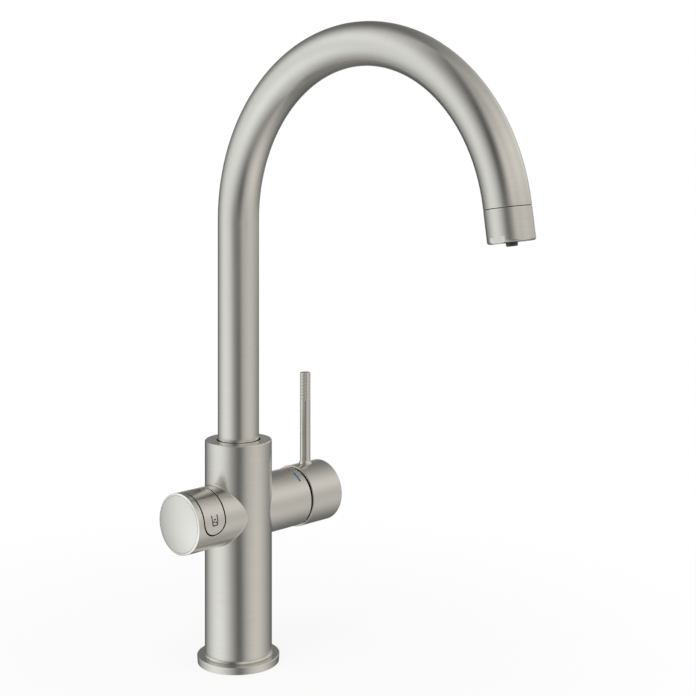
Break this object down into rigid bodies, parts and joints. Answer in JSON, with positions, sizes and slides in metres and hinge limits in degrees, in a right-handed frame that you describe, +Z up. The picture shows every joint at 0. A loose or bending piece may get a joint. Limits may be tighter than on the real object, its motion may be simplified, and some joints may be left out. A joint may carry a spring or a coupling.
{
  "type": "kitchen tap",
  "caption": "Deck-mounted swan-neck kitchen tap with a side mixer lever, a side key band for filtered water and a separate filtered-water way in its swivel spout.",
  "frame": {"origin": "centre of the foot, on the worktop", "axes": "+Z up along the column, -Y towards the spout's outlet, +X along the mixer arm to the lever, -X along the key arm"},
  "size_m": [0.1348, 0.2713, 0.4269],
  "materials": {
    "satin_steel": "satin brushed",
    "turned_brass": "turned",
    "pipe_copper": "drawn",
    "bright_steel": "fine turned",
    "seal_rubber": "moulded matt",
    "bush_acetal": "machined",
    "hose_plastic": "extruded",
    "nozzle_plastic": "moulded satin",
    "jet_plastic": "moulded",
    "cartridge_plastic": "moulded",
    "valve_ceramic": "lapped ceramic",
    "chassis_plastic": "moulded",
    "board_laminate": "lacquered laminate",
    "socket_plastic": "moulded",
    "cold_enamel": "printed enamel",
    "hot_enamel": "printed enamel",
    "icon_print": "printed, flush"
  },
  "bodies": {
    "tap_body": {"base_flange": "satin_steel", "base_gasket": "seal_rubber", "body_column": "satin_steel", "inlet_block": "turned_brass", "cable_grommet": "seal_rubber", "hot_pipe": "pipe_copper", "cold_pipe": "pipe_copper", "filtered_riser": "bright_steel", "riser_seal": "seal_rubber", "spout_bush_lower": "bush_acetal", "spout_bush_upper": "bush_acetal", "spout_stop_ring": "bush_acetal", "cartridge_seal": "seal_rubber", "cartridge_housing": "cartridge_plastic", "fixed_disc": "valve_ceramic", "cartridge_nut": "turned_brass", "dome_cover": "bright_steel", "cold_mark": "cold_enamel", "hot_mark": "hot_enamel", "end_disc": "satin_steel", "key_chassis": "chassis_plastic", "chassis_screws": "bright_steel", "keypad_board": "board_laminate", "key_switches": "chassis_plastic", "cable_socket": "socket_plastic", "key_return_spring": "bright_steel"},
    "spout": {"spout_tube": "satin_steel", "swivel_spigot": "turned_brass", "spigot_o_rings": "seal_rubber", "spout_grub_screw": "bright_steel", "filtered_hose": "hose_plastic", "hose_spider": "bush_acetal", "seam_washer": "seal_rubber", "outlet_head": "satin_steel", "jet_gasket": "seal_rubber", "jet_insert": "jet_plastic", "filtered_nozzle": "nozzle_plastic"},
    "mixer_turret": {"mixer_carrier": "bush_acetal", "lever_pivot_pin": "bright_steel"},
    "ceramic_slide": {"moving_disc": "valve_ceramic", "disc_driver": "bush_acetal"},
    "lever": {"lever_stem": "bright_steel", "lever_cap": "satin_steel", "lever_rod": "satin_steel", "lever_grub_screw": "bright_steel"},
    "key_plunger": {"key_yoke": "bush_acetal", "rocker_pin": "bright_steel"},
    "key_rocker": {"key_band": "satin_steel", "key_icons": "icon_print"}
  },
  "joints": [
    {"name": "spout_swivel", "type": "hinge", "parent": "tap_body", "child": "spout", "pos_m": [0, 0, 0.146], "axis": [0, 0, 1], "range_deg": [-75, 75]},
    {"name": "mixer_turn", "type": "hinge", "parent": "tap_body", "child": "mixer_turret", "pos_m": [0.037, 0, 0.1022], "axis": [1, 0, 0], "range_deg": [-28, 62]},
    {"name": "lever_lift", "type": "hinge", "parent": "mixer_turret", "child": "lever", "pos_m": [0.037, 0, 0.1022], "axis": [0, 1, 0], "range_deg": [0, 20]},
    {"name": "disc_slide", "type": "slide", "parent": "mixer_turret", "child": "ceramic_slide", "axis": [0, 0, 1], "range_m": [0, 0.0034]},
    {"name": "key_press", "type": "slide", "parent": "tap_body", "child": "key_plunger", "axis": [0, 0, -1], "range_m": [0, 0.00025], "stiffness_N_per_m": 2000, "springref_m": -0.001, "deforming": ["key_return_spring"]},
    {"name": "key_rock", "type": "hinge", "parent": "key_plunger", "child": "key_rocker", "pos_m": [-0.0382, 0, 0.1182], "axis": [1, 0, 0], "range_deg": [-0.5, 0.5], "stiffness_Nm_per_rad": 2}
  ],
  "couplings": [
    {"joint": "disc_slide", "follows": "lever_lift", "m_per_rad": 0.0096}
  ]
}
